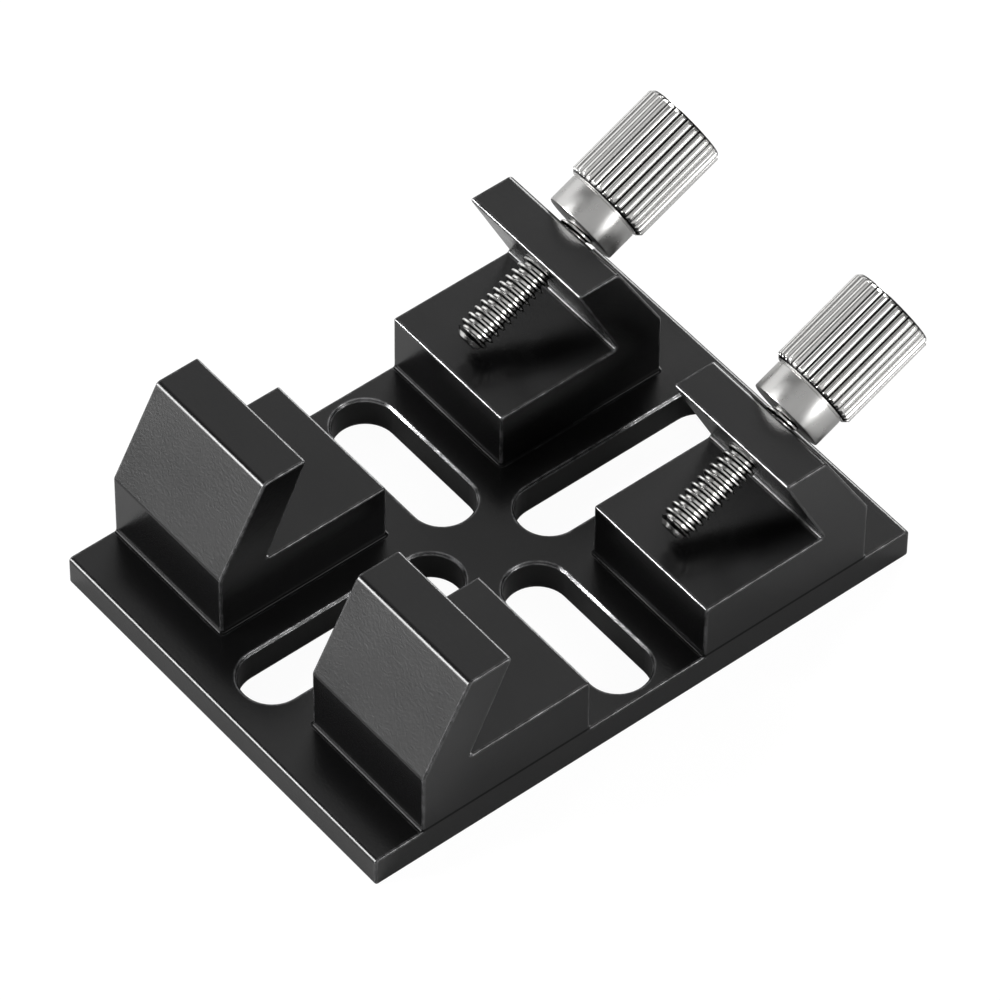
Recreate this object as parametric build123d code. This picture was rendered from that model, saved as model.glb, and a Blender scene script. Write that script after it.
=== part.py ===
from build123d import *

import os
from math import cos, pi, radians, sin, tan

# Dovetail base for the foot of a small finder telescope, with two tilted thumbscrews that
# clamp the foot. The base is one machined piece: a flat plate with four slots for its
# mounting screws, and four blocks whose undercut faces make the dovetail channel along X.
#
# Millimetres. X runs along the dovetail channel, the thumbscrews stand on the +Y side, and
# Z is up. The origin is the middle of the underside, the face that sits on the telescope.

# Plate
plate_length = 44.5
plate_depth = 61.2
plate_thickness = 3.3
plate_top_break = 0.45
plate_bottom_break = 0.3

# Blocks that stand on the plate
blocks_depth = 50.6
shoulder_height = 10.4
floor_height = 9.75
jaw_height = 19.8
jaw_opening = 30.8
jaw_land = 4.75
dovetail_angle = 25.5
channel_width = 13.2
ridge_radius = 0.6
edge_radius = 0.25
root_radius = 0.3
end_break = 0.2

# Slots for the mounting screws
slot_width = 6.3
slot_web = 7.4
cross_slot_end_margin = 1.0
long_slot_end_margin = 2.75
slot_break = 0.2

# Thumbscrews
thread_diameter = 3.5
thread_clearance = 0.05
screw_height = 15.85
tip_above_floor = 2.05
tip_chamfer = 0.75
collar_diameter = 7.6
collar_length = 3.2
collar_gap = 0.5
collar_break = 0.15
head_diameter = 8.84
head_length = 10.5
head_chamfer = 0.4
knurl_count = 33
knurl_depth = 0.32
socket_depth = 6.0
socket_clearance = 0.03
socket_end_gap = 0.1

# Places that follow from the sizes above
half_length = plate_length / 2
half_depth = plate_depth / 2
half_blocks = blocks_depth / 2
half_channel = channel_width / 2
half_opening = jaw_opening / 2
ridge_y = half_opening + jaw_land
undercut_slope = tan(radians(dovetail_angle))
undercut_root_y = half_opening + (jaw_height - floor_height) * undercut_slope
screw_x = (half_length + half_channel) / 2
screw_y = half_opening + (jaw_height - screw_height) * undercut_slope
screw_reach = (screw_height - floor_height - tip_above_floor) / sin(radians(dovetail_angle))
screw_direction = Vector(0, cos(radians(dovetail_angle)), sin(radians(dovetail_angle)))
screw_normal = Vector(0, -sin(radians(dovetail_angle)), cos(radians(dovetail_angle)))

SIDES = {"left": -1, "right": 1}
TOLERANCE = 1e-3


def lies_at(edge, axis, places):
    """Whether the edge lies in the plane at one of these places along "X", "Y" or "Z"."""
    box = edge.bounding_box()
    low = getattr(box.min, axis)
    high = getattr(box.max, axis)
    return any(abs(low - place) < TOLERANCE and abs(high - place) < TOLERANCE for place in places)


def base_section():
    """The section of the plate and blocks across the dovetail channel, with its long edges rounded."""
    corners = [
        (half_depth, 0, plate_bottom_break),
        (half_depth, plate_thickness, plate_top_break),
        (half_blocks, plate_thickness, None),
        (half_blocks, shoulder_height, ridge_radius),
        (ridge_y, jaw_height, ridge_radius),
        (half_opening, jaw_height, edge_radius),
        (undercut_root_y, floor_height, root_radius),
        (half_channel, floor_height, edge_radius),
        (half_channel, plate_thickness, None),
    ]
    corners += [(-y, z, radius) for y, z, radius in reversed(corners)]
    face = make_face(Polyline(*[(y, z) for y, z, radius in corners], close=True))
    for y, z, radius in corners:
        if radius is not None:
            corner = face.vertices().sort_by_distance(Vertex(y, z))[0]
            face = fillet(corner, radius)
    return face


def slot_cutter(centre_x, centre_y, length, along_y):
    """A round-ended slot through the plate, flared at the top by the slot's edge break."""
    turn = 90 if along_y else 0
    place = Location((centre_x, centre_y, 0), (0, 0, turn))
    through = extrude(SlotOverall(length, slot_width), plate_thickness)
    flare_mouth = SlotOverall(length + 2 * slot_break, slot_width + 2 * slot_break)
    flare = loft([
        Pos(0, 0, plate_thickness - slot_break) * SlotOverall(length, slot_width),
        Pos(0, 0, plate_thickness) * flare_mouth,
    ])
    return place * (through + flare)


def slot_cutters():
    """Two slots along X and two along Y, which leave a web at the middle of the plate."""
    cross_end = half_length - cross_slot_end_margin
    long_end = half_depth - long_slot_end_margin
    web = slot_web / 2
    cutters = []
    for sign in (-1, 1):
        cutters.append(slot_cutter(sign * (cross_end + web) / 2, 0, cross_end - web, False))
        cutters.append(slot_cutter(0, sign * (long_end + web) / 2, long_end - web, True))
    return cutters


def screw_frame(side):
    """The plane of a thumbscrew: origin where its axis leaves the jaw's inner face, Z outwards."""
    origin = Vector(side * screw_x, screw_y, screw_height)
    return Plane(origin=origin, x_dir=(1, 0, 0), z_dir=screw_direction)


def wall_thickness_at(offset):
    """The jaw's thickness along the screw's axis, at this height above the axis."""
    pierced = Vector(0, screw_y, screw_height)
    low = Vector(0, half_blocks, shoulder_height) - pierced
    high = Vector(0, ridge_y, jaw_height) - pierced
    share = (offset - low.dot(screw_normal)) / (high.dot(screw_normal) - low.dot(screw_normal))
    return low.dot(screw_direction) + share * (high - low).dot(screw_direction)


def wall_thickness_within(radius):
    """The jaw's greatest thickness along the screw's axis, within this radius of it."""
    return max(wall_thickness_at(-radius), wall_thickness_at(radius))


def collar_start():
    """How far the collar's underside is from the jaw's inner face, at rest."""
    return wall_thickness_within(collar_diameter / 2) + collar_gap


def revolved(outline):
    """A solid of revolution about Z from (radius, height) points."""
    face = Plane.XZ * make_face(Polyline(*outline, close=True))
    return revolve(face, Axis.Z)


def stud():
    """The threaded stud about its own axis: chamfered tip inwards, plain end in the head."""
    radius = thread_diameter / 2
    top = collar_start() + socket_depth - socket_end_gap
    return revolved([
        (0, -screw_reach),
        (radius - tip_chamfer, -screw_reach),
        (radius, -screw_reach + tip_chamfer),
        (radius, top),
        (0, top),
    ])


def knurled_section():
    """The head's section: a ring of V grooves round the knurled part."""
    outer = head_diameter / 2
    inner = outer - knurl_depth
    points = []
    for step in range(knurl_count):
        crest = 2 * pi * step / knurl_count
        groove = crest + pi / knurl_count
        points.append((outer * cos(crest), outer * sin(crest)))
        points.append((inner * cos(groove), inner * sin(groove)))
    return make_face(Polyline(*points, close=True))


def head():
    """The collar and knurled head about the screw's axis, with a blind socket for the stud."""
    bottom = collar_start()
    knurl_bottom = bottom + collar_length
    knurl_top = knurl_bottom + head_length
    collar = collar_diameter / 2
    outer = head_diameter / 2
    collar_solid = revolved([
        (0, bottom),
        (collar - collar_break, bottom),
        (collar, bottom + collar_break),
        (collar, knurl_bottom),
        (0, knurl_bottom),
    ])
    envelope = revolved([
        (0, knurl_bottom),
        (outer - head_chamfer, knurl_bottom),
        (outer, knurl_bottom + head_chamfer),
        (outer, knurl_top - head_chamfer),
        (outer - head_chamfer, knurl_top),
        (0, knurl_top),
    ])
    knurled = extrude(Pos(0, 0, knurl_bottom) * knurled_section(), head_length)
    socket = Pos(0, 0, bottom) * Cylinder(
        thread_diameter / 2 + socket_clearance, socket_depth,
        align=(Align.CENTER, Align.CENTER, Align.MIN),
    )
    return collar_solid + (knurled & envelope) - socket


def screw_bore(side):
    """The hole through the jaw for the stud, longer than the wall at both ends."""
    length = wall_thickness_within(thread_diameter / 2) + 2 * edge_radius
    bore = Pos(0, 0, -edge_radius) * Cylinder(
        thread_diameter / 2 + thread_clearance, length,
        align=(Align.CENTER, Align.CENTER, Align.MIN),
    )
    return screw_frame(side).location * bore


def blunted(body):
    """The body with its end edges and channel edges rounded, and a fillet round each block's foot."""
    ends = (-half_length, half_length)
    walls = (-half_channel, half_channel)
    faces = walls + (-half_blocks, half_blocks)
    top = (plate_thickness,)
    body = fillet([edge for edge in body.edges() if lies_at(edge, "X", ends)], end_break)
    across = [
        edge for edge in body.edges() if lies_at(edge, "X", walls) and not lies_at(edge, "Z", top)
    ]
    body = fillet(across, end_break)
    feet = [
        edge
        for edge in body.edges()
        if lies_at(edge, "Z", top) and (lies_at(edge, "X", walls) or lies_at(edge, "Y", faces))
    ]
    return fillet(feet, root_radius)


def dovetail_base():
    """The machined base: extruded section, cross channel, slots and screw bores."""
    body = extrude(Plane.YZ * base_section(), half_length, both=True)
    body -= Pos(0, 0, plate_thickness) * Box(
        channel_width, plate_depth, jaw_height - plate_thickness,
        align=(Align.CENTER, Align.CENTER, Align.MIN),
    )
    body = blunted(body)
    for cutter in slot_cutters():
        body -= cutter
    for side in SIDES.values():
        body -= screw_bore(side)
    return body


def main():
    os.makedirs("parts", exist_ok=True)
    parts = {"dovetail_base": dovetail_base()}
    for name, side in SIDES.items():
        place = screw_frame(side).location
        parts[f"{name}_screw_stud"] = place * stud()
        parts[f"{name}_screw_head"] = place * head()
    for node, solid in parts.items():
        export_step(solid, f"parts/{node}.step")


main()
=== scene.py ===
import math

import bmesh
import bpy
import numpy as np
from mathutils import Matrix, Vector

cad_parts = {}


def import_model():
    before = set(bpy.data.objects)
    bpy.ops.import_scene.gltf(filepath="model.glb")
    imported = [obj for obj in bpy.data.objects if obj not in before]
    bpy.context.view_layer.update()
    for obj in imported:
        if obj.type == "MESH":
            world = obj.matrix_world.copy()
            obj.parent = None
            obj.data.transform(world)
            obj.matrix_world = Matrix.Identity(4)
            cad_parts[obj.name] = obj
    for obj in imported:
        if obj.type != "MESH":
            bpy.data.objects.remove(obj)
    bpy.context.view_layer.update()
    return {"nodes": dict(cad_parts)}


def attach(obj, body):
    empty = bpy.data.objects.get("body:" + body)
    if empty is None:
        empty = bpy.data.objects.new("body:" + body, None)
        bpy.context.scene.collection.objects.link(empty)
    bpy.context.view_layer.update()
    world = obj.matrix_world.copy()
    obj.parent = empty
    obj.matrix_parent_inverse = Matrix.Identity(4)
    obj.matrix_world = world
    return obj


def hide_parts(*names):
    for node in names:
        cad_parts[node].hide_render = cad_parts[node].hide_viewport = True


# Looks of the finder scope dovetail base. Metres, in the part's own frame: X runs along the
# dovetail channel, the thumbscrews stand on the +Y side, Z is up, and the plate lies on Z = 0.

MM = 0.001

PLATE_TOP = 3.3 * MM

# Thumbscrews, as in the CAD model but for a knurl 0.01 mm deeper
DOVETAIL_ANGLE = math.radians(25.5)
SCREW_ORIGIN = (14.425 * MM, 17.284 * MM, 15.85 * MM)
SCREW_REACH = 9.407 * MM
COLLAR_START = 5.132 * MM
COLLAR_LENGTH = 3.2 * MM
COLLAR_RADIUS = 3.8 * MM
COLLAR_BREAK = 0.15 * MM
HEAD_LENGTH = 10.5 * MM
HEAD_RADIUS = 4.42 * MM
HEAD_CHAMFER = 0.4 * MM
KNURL_COUNT = 33
KNURL_DEPTH = 0.33 * MM

# A groove under the knurl and a shallow dish in the head's end, which the CAD model leaves out
NECK_START = 0.22 * MM
NECK_FULL = 0.16 * MM
NECK_DEPTH = 0.12 * MM
END_RIM_RADIUS = 3.6 * MM
END_DISH_RADIUS = 3.5 * MM
END_MIDDLE_RADIUS = 0.6 * MM
END_DISH_DEPTH = 0.05 * MM

# The head's mesh: its underside starts inside the stud
COLLAR_INNER_RADIUS = 1.5 * MM
CHAMFER_STEPS = 8
SIDE_STEPS = 12
HEAD_SHARP_DEGREES = 32

# Thread: number 6, 32 threads per inch, right-hand
THREAD_PITCH = 0.79375 * MM
THREAD_CREST = 1.75 * MM
THREAD_ROOT = 1.275 * MM
TIP_RADIUS = 0.95 * MM
TIP_LENGTH = 0.8 * MM
THREAD_STEPS = 72
THREAD_SHARP_DEGREES = 38
WELD_DISTANCE = 2e-6
DEGENERATE_LENGTH = 1e-6
SAME_HEIGHT = 1e-9
NOTHING_SHARP_DEGREES = 180

# (share of the pitch, share of the thread's depth) from one crest to the next
THREAD_PROFILE = (
    (-0.15, 0.14), (-0.09, 0.0), (0.09, 0.0), (0.15, 0.14), (0.33, 0.9),
    (0.4, 1.0), (0.6, 1.0), (0.67, 0.9),
)
# (share of the ridge's width, share of the knurl's depth) across one ridge
KNURL_PROFILE = (
    (-0.44, 0.85), (-0.28, 0.2), (-0.16, 0.03), (0.0, 0.0), (0.16, 0.03), (0.28, 0.2), (0.44, 0.85),
    (0.5, 1.0),
)

# Colours
ANODISED_DARK = (0.0018, 0.0018, 0.0019, 1)
ANODISED_PALE = (0.003, 0.003, 0.0032, 1)
# Bare aluminium for rubbed edges, also used to paint highlight lines on the edges
BARE_EDGE_AND_HIGHLIGHT = (0.5, 0.5, 0.51, 1)
NICKEL_BRIGHT = (0.88, 0.875, 0.86, 1)
NICKEL_DULL = (0.78, 0.77, 0.755, 1)
COLLAR_TONE = (0.56, 0.556, 0.546, 1)
# Painted shade for the grooves of the thread and the knurl
GROOVE_SHADE = (0.02, 0.02, 0.02, 1)
PAPER = (0.6, 0.6, 0.6, 1)
WHITE = (1, 1, 1, 1)

# Noise scales
GRAIN_SCALE = 4200
ANODISED_CLOUD_SCALE = 160
SPECK_SCALE = 1100
TURNING_MARK_SCALE = 9000
NICKEL_CLOUD_SCALE = 500
PIT_SCALE = 3200

# Depths below a crest at which the painted shade in a groove starts and is full black
THREAD_SHADE_START_DEPTH = 0.07 * MM
THREAD_SHADE_FULL_DEPTH = 0.14 * MM
KNURL_SHADE_START_DEPTH = 0.16 * MM
KNURL_SHADE_FULL_DEPTH = 0.27 * MM
TIP_MARGIN = 0.02 * MM
ROOT_MARGIN = 0.03 * MM

# Surface masks
BUMP_DISTANCE = 0.02 * MM
EDGE_RADIUS = 0.3 * MM
SLANT = (0.0, 0.7071, 0.7071)
SLANT_HIGHLIGHT_INSIDE = 16.5 * MM
SLANT_HIGHLIGHT_OUTSIDE = 17.0 * MM
FOOT_FADE_IN = 0.02 * MM
FOOT_FULL = 0.3 * MM
FOOT_END = 0.35 * MM
LIGHTENED_FADE = 0.03 * MM
NECK_FADE = 0.05 * MM
# A height or radius below everything on the screws
BELOW_ALL = -1.0

# Sockets of a Mix node set to colours
MIX_SHARE = 0
MIX_A = 6
MIX_B = 7
MIX_RESULT = 2

# Floor
FLOOR_SIZE = 6
FLOOR_HEIGHT = -0.00002
FLOOR_GLOW = 1.12
FLOOR_GLOW_SHARE = 0.85

# Camera
CAMERA_PLACE = (0.36542, -0.29827, 0.55254)
CAMERA_AZIMUTH = 50.67
CAMERA_ELEVATION = 49.03
CAMERA_ROLL = 0.656
CAMERA_LENS = 290.1
CAMERA_SENSOR = 36
CAMERA_NEAR = 0.05
CAMERA_FAR = 20

# Light: a dim dome with soft panels, each (direction, half angle inside, outside, radiance)
AMBIENT = 0.12
PANELS = (
    ((-0.51, -0.86, -0.02), 12, 28, 5.9),
    ((-0.51, -0.78, 0.37), 8, 15, 23.0),
    ((-0.51, 0.42, 0.75), 15, 33, 0.48),
    ((-0.51, 0.75, 0.43), 7, 14, 14.0),
    ((1.0, 0.0, 0.19), 8, 17, 5.0),
    ((0.73, 0.42, 0.48), 8, 15, 7.0),
    ((-0.95, -0.1, 0.25), 14, 34, 1.0),
    ((0.5, -0.43, 0.75), 20, 46, 0.44),
)


# ---------------------------------------------------------------- meshes

def mesh_object(name, verts, faces, sharp_degrees):
    mesh = bpy.data.meshes.new(name)
    mesh.from_pydata([tuple(v) for v in verts], [], faces)
    mesh.validate()
    mesh.update()
    mesh.shade_smooth()
    mesh.set_sharp_from_angle(angle=math.radians(sharp_degrees))
    thing = bpy.data.objects.new(name, mesh)
    bpy.context.scene.collection.objects.link(thing)
    smooth = thing.modifiers.new("weighted", "WEIGHTED_NORMAL")
    smooth.keep_sharp = True
    return thing


def ring_faces(rings, count):
    """Quads between rings of count points each, counter-clockwise seen from outside."""
    faces = []
    for ring in range(rings - 1):
        for step in range(count):
            a = ring * count + step
            b = ring * count + (step + 1) % count
            faces.append((a, b, b + count, a + count))
    return faces


def capped(verts, faces, rings, count):
    """The tube's two ends closed with fans to a middle point."""
    first = verts[:count].mean(axis=0)
    last = verts[(rings - 1) * count:rings * count].mean(axis=0)
    verts = np.vstack([verts, first, last])
    low = rings * count
    for step in range(count):
        after = (step + 1) % count
        faces.append((low, after, step))
        faces.append((low + 1, (rings - 1) * count + step, (rings - 1) * count + after))
    return verts, faces


def thread_mesh(name):
    """The cut thread about Z, helical, with a coned tip. Its rows follow the helix."""
    start, end = -SCREW_REACH, COLLAR_START + COLLAR_LENGTH / 2
    depth = THREAD_CREST - THREAD_ROOT
    turns = int((end - start) / THREAD_PITCH) + 3
    rows = []
    for turn in range(turns):
        for share, drop in THREAD_PROFILE:
            rows.append(((turn - 1 + share) * THREAD_PITCH + start, THREAD_CREST - drop * depth))
    per_turn = len(THREAD_PROFILE)
    verts = []
    for along, radius in rows:
        for step in range(THREAD_STEPS):
            share = step / THREAD_STEPS
            height = min(max(along + share * THREAD_PITCH, start), end)
            cone = TIP_RADIUS + (height - start) / TIP_LENGTH * (THREAD_CREST - TIP_RADIUS)
            reach = min(radius, cone)
            angle = 2 * math.pi * share
            verts.append((reach * math.cos(angle), reach * math.sin(angle), height))
    faces = []
    for row in range(len(rows) - 1):
        for step in range(THREAD_STEPS):
            a = row * THREAD_STEPS + step
            if step + 1 < THREAD_STEPS:
                b = a + 1
            elif row + per_turn + 1 < len(rows):
                b = (row + per_turn) * THREAD_STEPS
            else:
                continue
            faces.append((a, b, b + THREAD_STEPS, a + THREAD_STEPS))
    thing = mesh_object(name, verts, faces, NOTHING_SHARP_DEGREES)
    clean(thing, start, end)
    return thing


def clean(thing, start, end):
    """Welds the rows that were clamped to the ends and closes both ends."""
    mesh = bmesh.new()
    mesh.from_mesh(thing.data)
    flat = [
        f for f in mesh.faces
        if all(abs(v.co.z - start) < SAME_HEIGHT for v in f.verts)
        or all(abs(v.co.z - end) < SAME_HEIGHT for v in f.verts)
    ]
    bmesh.ops.delete(mesh, geom=flat, context="FACES")
    bmesh.ops.remove_doubles(mesh, verts=mesh.verts, dist=WELD_DISTANCE)
    bmesh.ops.dissolve_degenerate(mesh, edges=mesh.edges, dist=DEGENERATE_LENGTH)
    loose = [v for v in mesh.verts if not v.link_faces]
    bmesh.ops.delete(mesh, geom=loose, context="VERTS")
    bmesh.ops.holes_fill(mesh, edges=[e for e in mesh.edges if e.is_boundary], sides=0)
    bmesh.ops.recalc_face_normals(mesh, faces=mesh.faces)
    mesh.to_mesh(thing.data)
    mesh.free()
    thing.data.shade_smooth()
    thing.data.set_sharp_from_angle(angle=math.radians(THREAD_SHARP_DEGREES))


def knurl_angles():
    """(angle, share of the knurl's depth) round the head."""
    out = []
    for ridge in range(KNURL_COUNT):
        for share, drop in KNURL_PROFILE:
            out.append(((ridge + share) * 2 * math.pi / KNURL_COUNT, drop))
    return out


def head_mesh(name):
    """Collar and knurled head about Z."""
    bottom = COLLAR_START
    neck = bottom + COLLAR_LENGTH
    top = neck + HEAD_LENGTH
    plain = [
        (COLLAR_INNER_RADIUS, bottom),
        (COLLAR_RADIUS - COLLAR_BREAK, bottom),
        (COLLAR_RADIUS - 0.3 * COLLAR_BREAK, bottom + 0.3 * COLLAR_BREAK),
        (COLLAR_RADIUS, bottom + COLLAR_BREAK),
        (COLLAR_RADIUS, neck - NECK_START),
        (COLLAR_RADIUS - NECK_DEPTH, neck - NECK_FULL),
        (COLLAR_RADIUS - NECK_DEPTH, neck),
    ]
    side = HEAD_LENGTH - 2 * HEAD_CHAMFER
    envelope = []
    for k in range(CHAMFER_STEPS + 1):
        share = k / CHAMFER_STEPS
        envelope.append((HEAD_RADIUS - HEAD_CHAMFER * (1 - share), neck + HEAD_CHAMFER * share))
    for k in range(1, SIDE_STEPS):
        envelope.append((HEAD_RADIUS, neck + HEAD_CHAMFER + side * k / SIDE_STEPS))
    for k in range(CHAMFER_STEPS + 1):
        share = k / CHAMFER_STEPS
        envelope.append((HEAD_RADIUS - HEAD_CHAMFER * share, top - HEAD_CHAMFER * (1 - share)))
    face = [
        (END_RIM_RADIUS, top),
        (END_DISH_RADIUS, top - END_DISH_DEPTH),
        (END_MIDDLE_RADIUS, top - END_DISH_DEPTH),
    ]
    angles = knurl_angles()
    verts = []
    for radius, height in plain:
        verts += [(radius * math.cos(a), radius * math.sin(a), height) for a, drop in angles]
    for radius, height in envelope:
        for a, drop in angles:
            reach = min(radius, HEAD_RADIUS - drop * KNURL_DEPTH)
            verts.append((reach * math.cos(a), reach * math.sin(a), height))
    for radius, height in face:
        verts += [(radius * math.cos(a), radius * math.sin(a), height) for a, drop in angles]
    rings = len(plain) + len(envelope) + len(face)
    faces = ring_faces(rings, len(angles))
    verts, faces = capped(np.array(verts), faces, rings, len(angles))
    return mesh_object(name, verts, faces, HEAD_SHARP_DEGREES)


def screw_matrix(side):
    """The screw's own frame: origin where its axis leaves the jaw's inner face, Z outwards."""
    x, y, z = SCREW_ORIGIN
    along = Vector((0, math.cos(DOVETAIL_ANGLE), math.sin(DOVETAIL_ANGLE)))
    across = Vector((1, 0, 0))
    third = along.cross(across)
    turn = Matrix((across, third, along)).transposed().to_4x4()
    return Matrix.Translation((side * x, y, z)) @ turn


# ---------------------------------------------------------------- materials

class Nodes:
    """A small helper that adds and links shader nodes."""

    def __init__(self, name):
        self.material = bpy.data.materials.new(name)
        self.material.use_nodes = True
        self.tree = self.material.node_tree
        self.shader = self.tree.nodes["Principled BSDF"]

    def add(self, kind, inputs=(), **settings):
        node = self.tree.nodes.new(kind)
        for key, value in settings.items():
            setattr(node, key, value)
        for key, value in inputs:
            self.feed(node.inputs[key], value)
        return node

    def feed(self, socket, value):
        if isinstance(value, bpy.types.NodeSocket):
            self.tree.links.new(value, socket)
        else:
            socket.default_value = value

    def noise(self, place, scale, detail=2.0, roughness=0.5):
        return self.add(
            "ShaderNodeTexNoise",
            [("Vector", place), ("Scale", scale), ("Detail", detail), ("Roughness", roughness)],
        ).outputs["Fac"]

    def ranged(self, value, low, high, to_low, to_high):
        return self.add(
            "ShaderNodeMapRange",
            [
                ("Value", value),
                ("From Min", low),
                ("From Max", high),
                ("To Min", to_low),
                ("To Max", to_high),
            ],
        ).outputs["Result"]

    def math(self, operation, a, b=0.0):
        return self.add("ShaderNodeMath", [(0, a), (1, b)], operation=operation).outputs[0]

    def mixed(self, share, a, b):
        node = self.add("ShaderNodeMix", data_type="RGBA")
        self.feed(node.inputs[MIX_SHARE], share)
        self.feed(node.inputs[MIX_A], a)
        self.feed(node.inputs[MIX_B], b)
        return node.outputs[MIX_RESULT]

    def dot(self, a, b):
        node = self.add("ShaderNodeVectorMath", [(0, a), (1, b)], operation="DOT_PRODUCT")
        return node.outputs["Value"]

    def bumped(self, height, strength):
        settings = [("Height", height), ("Strength", strength), ("Distance", BUMP_DISTANCE)]
        self.feed(self.shader.inputs["Normal"], self.add("ShaderNodeBump", settings).outputs["Normal"])


def anodised():
    """Black anodised aluminium over a fine bead blast, its edges a little rubbed."""
    n = Nodes("black_anodised")
    place = n.add("ShaderNodeTexCoord").outputs["Object"]
    parts = n.add("ShaderNodeSeparateXYZ", [(0, place)]).outputs
    grain = n.noise(place, GRAIN_SCALE, 2.0, 0.6)
    cloud = n.noise(place, ANODISED_CLOUD_SCALE, 3.0, 0.55)
    specks = n.noise(place, SPECK_SCALE, 4.0, 0.75)
    # Painted shade: along the crease round each block's foot the reflection is dimmed and no edge is
    # lightened
    foot_shade = n.math(
        "MULTIPLY",
        n.ranged(parts["Z"], PLATE_TOP, PLATE_TOP + FOOT_FADE_IN, 0.0, 1.0),
        n.ranged(parts["Z"], PLATE_TOP + FOOT_FULL, PLATE_TOP + FOOT_END, 1.0, 0.0),
    )
    clear = n.math("SUBTRACT", 1.0, foot_shade)
    # Every edge is lightened toward bare, partly metallic aluminium on both sides of its rounding,
    # broken up by specks: rubbed wear, and also a painted highlight along the edge lines
    rounded = n.add("ShaderNodeBevel", [("Radius", EDGE_RADIUS)], samples=6).outputs["Normal"]
    plain = n.add("ShaderNodeNewGeometry").outputs["Normal"]
    bend = n.ranged(n.dot(rounded, plain), 0.995, 0.93, 0.0, 1.0)
    rubbed_and_highlight = n.math("MULTIPLY", bend, n.ranged(specks, 0.42, 0.62, 0.2, 1.0))
    rubbed_and_highlight = n.math("MULTIPLY", rubbed_and_highlight, clear)
    # Painted highlight: on the edges along the channel whose rounding turns 45 degrees between Y and
    # Z, where the key light's highlight falls, the colour is lightened and partly metallic in the
    # middle
    upright = n.add("ShaderNodeVectorMath", [(0, plain)], operation="ABSOLUTE").outputs["Vector"]
    slant = n.ranged(n.dot(upright, SLANT), 0.97, 0.995, 0.0, 1.0)
    inside = n.ranged(n.math("ABSOLUTE", parts["Y"]), SLANT_HIGHLIGHT_INSIDE, SLANT_HIGHLIGHT_OUTSIDE, 1.0, 0.0)
    slant_highlight = n.math("MULTIPLY", slant, n.math("MULTIPLY", inside, clear))
    slant_highlight = n.math("MULTIPLY", slant_highlight, n.ranged(specks, 0.4, 0.6, 0.4, 1.0))
    clouded = n.ranged(cloud, 0.35, 0.65, 0.0, 1.0)
    dark = n.mixed(clouded, ANODISED_DARK, ANODISED_PALE)
    lightened = n.math("MAXIMUM", rubbed_and_highlight, slant_highlight)
    # Edges lightened by rubbed wear and by painted highlight
    n.feed(n.shader.inputs["Base Color"], n.mixed(lightened, dark, BARE_EDGE_AND_HIGHLIGHT))
    metal = n.math("MAXIMUM", n.math("MULTIPLY", rubbed_and_highlight, 0.8), n.math("MULTIPLY", slant_highlight, 0.3))
    n.feed(n.shader.inputs["Metallic"], metal)
    rough = n.ranged(cloud, 0.3, 0.7, 0.25, 0.21)
    n.feed(n.shader.inputs["Roughness"], n.math("SUBTRACT", rough, n.math("MULTIPLY", rubbed_and_highlight, 0.05)))
    # Painted shade: the specular level drops in the crease at each block's foot
    n.feed(n.shader.inputs["Specular IOR Level"], n.ranged(foot_shade, 0.0, 1.0, 0.5, 0.1))
    n.bumped(grain, 0.5)
    return n.material


def nickel(name, crest, root, lightened, neck):
    """Bright plated steel, turned round its local Z: bright on its crests, with painted shade in its
    grooves.

    Going in from the radius crest, painted shade blackens it down to the radius root, and between the
    two radii of the lightened band it is bright again. Below the height neck the surface is plain and
    duller.
    """
    n = Nodes(name)
    place = n.add("ShaderNodeTexCoord").outputs["Object"]
    x, y, z = n.add("ShaderNodeSeparateXYZ", [(0, place)]).outputs
    squared = n.math("ADD", n.math("MULTIPLY", x, x), n.math("MULTIPLY", y, y))
    radius = n.math("SQRT", squared)
    section = n.add("ShaderNodeCombineXYZ", [("X", radius), ("Z", z)]).outputs[0]
    marks = n.noise(section, TURNING_MARK_SCALE, 2.0, 0.6)
    cloud = n.noise(place, NICKEL_CLOUD_SCALE, 3.0, 0.6)
    pits = n.noise(place, PIT_SCALE, 2.0, 0.6)
    grooved = n.ranged(z, neck - NECK_FADE, neck, 0.0, 1.0)
    # Painted shade: the grooves are coloured black by their radius, where shade falls in them
    groove_shade = n.math("MULTIPLY", n.ranged(radius, crest, root, 0.0, 1.0), grooved)
    inner, outer = lightened
    beyond = n.ranged(radius, inner, inner + LIGHTENED_FADE, 0.0, 1.0)
    within = n.ranged(radius, outer, outer + LIGHTENED_FADE, 1.0, 0.0)
    shade_reaches = n.math("SUBTRACT", 1.0, n.math("MULTIPLY", beyond, within))
    groove_shade = n.math("MULTIPLY", groove_shade, shade_reaches)
    unshaded_tone = n.mixed(n.ranged(cloud, 0.35, 0.7, 0.0, 1.0), NICKEL_BRIGHT, NICKEL_DULL)
    unshaded_tone = n.mixed(grooved, COLLAR_TONE, unshaded_tone)
    # Painted shade mixed into the grooves
    n.feed(n.shader.inputs["Base Color"], n.mixed(groove_shade, unshaded_tone, GROOVE_SHADE))
    n.shader.inputs["Metallic"].default_value = 1.0
    worked = n.ranged(cloud, 0.3, 0.7, 0.2, 0.3)
    n.feed(n.shader.inputs["Roughness"], n.math("ADD", worked, n.ranged(grooved, 0.0, 1.0, 0.06, 0.0)))
    height = n.math("ADD", n.math("MULTIPLY", marks, 0.4), n.math("MULTIPLY", pits, 0.6))
    n.bumped(height, n.ranged(grooved, 0.0, 1.0, 0.15, 0.6))
    return n.material


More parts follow.
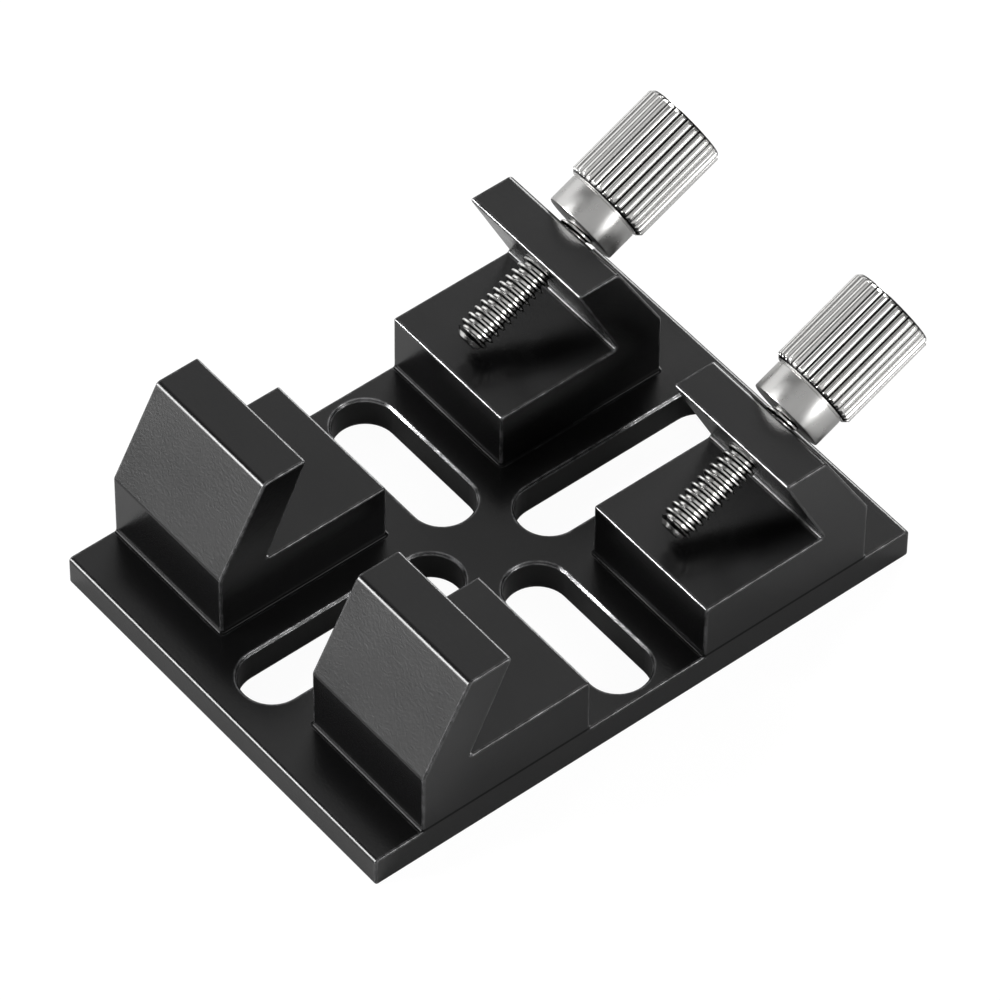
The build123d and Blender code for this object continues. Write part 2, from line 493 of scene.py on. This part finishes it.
def plain_floor():
    """White paper. Straight to the eye it is lit evenly, with only a trace of shadow."""
    n = Nodes("pale_floor")
    n.shader.inputs["Base Color"].default_value = PAPER
    n.shader.inputs["Roughness"].default_value = 1.0
    n.shader.inputs["Specular IOR Level"].default_value = 0.0
    seen = n.add("ShaderNodeLightPath").outputs["Is Camera Ray"]
    glow = n.add("ShaderNodeEmission", [("Color", WHITE), ("Strength", FLOOR_GLOW)])
    mix = n.add("ShaderNodeMixShader", [(0, n.math("MULTIPLY", seen, FLOOR_GLOW_SHARE))])
    n.tree.links.new(n.shader.outputs[0], mix.inputs[1])
    n.tree.links.new(glow.outputs[0], mix.inputs[2])
    n.tree.links.new(mix.outputs[0], n.tree.nodes["Material Output"].inputs["Surface"])
    return n.material


# ---------------------------------------------------------------- stage

def studio_world():
    """A dim dome with the soft light panels, each at full radiance inside its smaller angle."""
    world = bpy.data.worlds.new("studio")
    bpy.context.scene.world = world
    world.use_nodes = True
    tree = world.node_tree
    toward = tree.nodes.new("ShaderNodeTexCoord").outputs["Generated"]
    total = None
    for direction, inside, outside, radiance in PANELS:
        dot = tree.nodes.new("ShaderNodeVectorMath")
        dot.operation = "DOT_PRODUCT"
        tree.links.new(toward, dot.inputs[0])
        dot.inputs[1].default_value = Vector(direction).normalized()
        lobe = tree.nodes.new("ShaderNodeMapRange")
        lobe.interpolation_type = "SMOOTHSTEP"
        tree.links.new(dot.outputs["Value"], lobe.inputs["Value"])
        lobe.inputs["From Min"].default_value = math.cos(math.radians(outside))
        lobe.inputs["From Max"].default_value = math.cos(math.radians(inside))
        lobe.inputs["To Max"].default_value = radiance
        if total is None:
            total = lobe.outputs["Result"]
            continue
        add = tree.nodes.new("ShaderNodeMath")
        tree.links.new(total, add.inputs[0])
        tree.links.new(lobe.outputs["Result"], add.inputs[1])
        total = add.outputs[0]
    ambient = tree.nodes.new("ShaderNodeMath")
    tree.links.new(total, ambient.inputs[0])
    ambient.inputs[1].default_value = AMBIENT
    background = tree.nodes["Background"]
    background.inputs["Color"].default_value = WHITE
    tree.links.new(ambient.outputs[0], background.inputs["Strength"])


def make_stage():
    bpy.ops.mesh.primitive_plane_add(size=FLOOR_SIZE, location=(0, 0, FLOOR_HEIGHT))
    floor = bpy.context.object
    floor.name = "floor"
    floor.data.materials.append(plain_floor())
    studio_world()


def make_camera():
    azimuth, elevation, roll = map(math.radians, (CAMERA_AZIMUTH, CAMERA_ELEVATION, CAMERA_ROLL))
    back = Vector((
        math.sin(azimuth) * math.cos(elevation),
        -math.cos(azimuth) * math.cos(elevation),
        math.sin(elevation),
    ))
    level = Vector((math.cos(azimuth), math.sin(azimuth), 0))
    over = back.cross(level)
    right = math.cos(roll) * level + math.sin(roll) * over
    up = back.cross(right)
    data = bpy.data.cameras.new("camera")
    data.lens = CAMERA_LENS
    data.sensor_width = CAMERA_SENSOR
    data.clip_start = CAMERA_NEAR
    data.clip_end = CAMERA_FAR
    camera = bpy.data.objects.new("camera", data)
    turn = Matrix((right, up, back)).transposed().to_4x4()
    camera.matrix_world = Matrix.Translation(CAMERA_PLACE) @ turn
    bpy.context.scene.collection.objects.link(camera)
    bpy.context.scene.camera = camera


# ---------------------------------------------------------------- scene

def main():
    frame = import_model()
    bpy.context.scene.view_settings.view_transform = "Standard"
    base = frame["nodes"]["dovetail_base"]
    base.data.materials.clear()
    base.data.materials.append(anodised())
    # The thread's root band and the head's end are kept free of the painted groove shade
    unshaded_root = (TIP_RADIUS + TIP_MARGIN, THREAD_ROOT + ROOT_MARGIN)
    thread_shade_start = THREAD_CREST - THREAD_SHADE_START_DEPTH
    thread_shade_full = THREAD_CREST - THREAD_SHADE_FULL_DEPTH
    thread_finish = nickel("bright_thread", thread_shade_start, thread_shade_full, unshaded_root, BELOW_ALL)
    knurl_neck = COLLAR_START + COLLAR_LENGTH
    unshaded_end = (BELOW_ALL, HEAD_RADIUS - HEAD_CHAMFER)
    knurl_shade_start = HEAD_RADIUS - KNURL_SHADE_START_DEPTH
    knurl_shade_full = HEAD_RADIUS - KNURL_SHADE_FULL_DEPTH
    head_finish = nickel("bright_knurl", knurl_shade_start, knurl_shade_full, unshaded_end, knurl_neck)
    for name, side in (("left", -1), ("right", 1)):
        thread = thread_mesh(f"{name}_thread")
        thread.data.materials.append(thread_finish)
        knob = head_mesh(f"{name}_knurled_head")
        knob.data.materials.append(head_finish)
        for piece, node, slot in (
            (thread, f"{name}_screw_stud", "bright_thread"),
            (knob, f"{name}_screw_head", "bright_knurl"),
        ):
            piece.matrix_world = screw_matrix(side)
            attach(piece, f"{name}_head")
            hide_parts(node)
    make_stage()
    make_camera()


main()
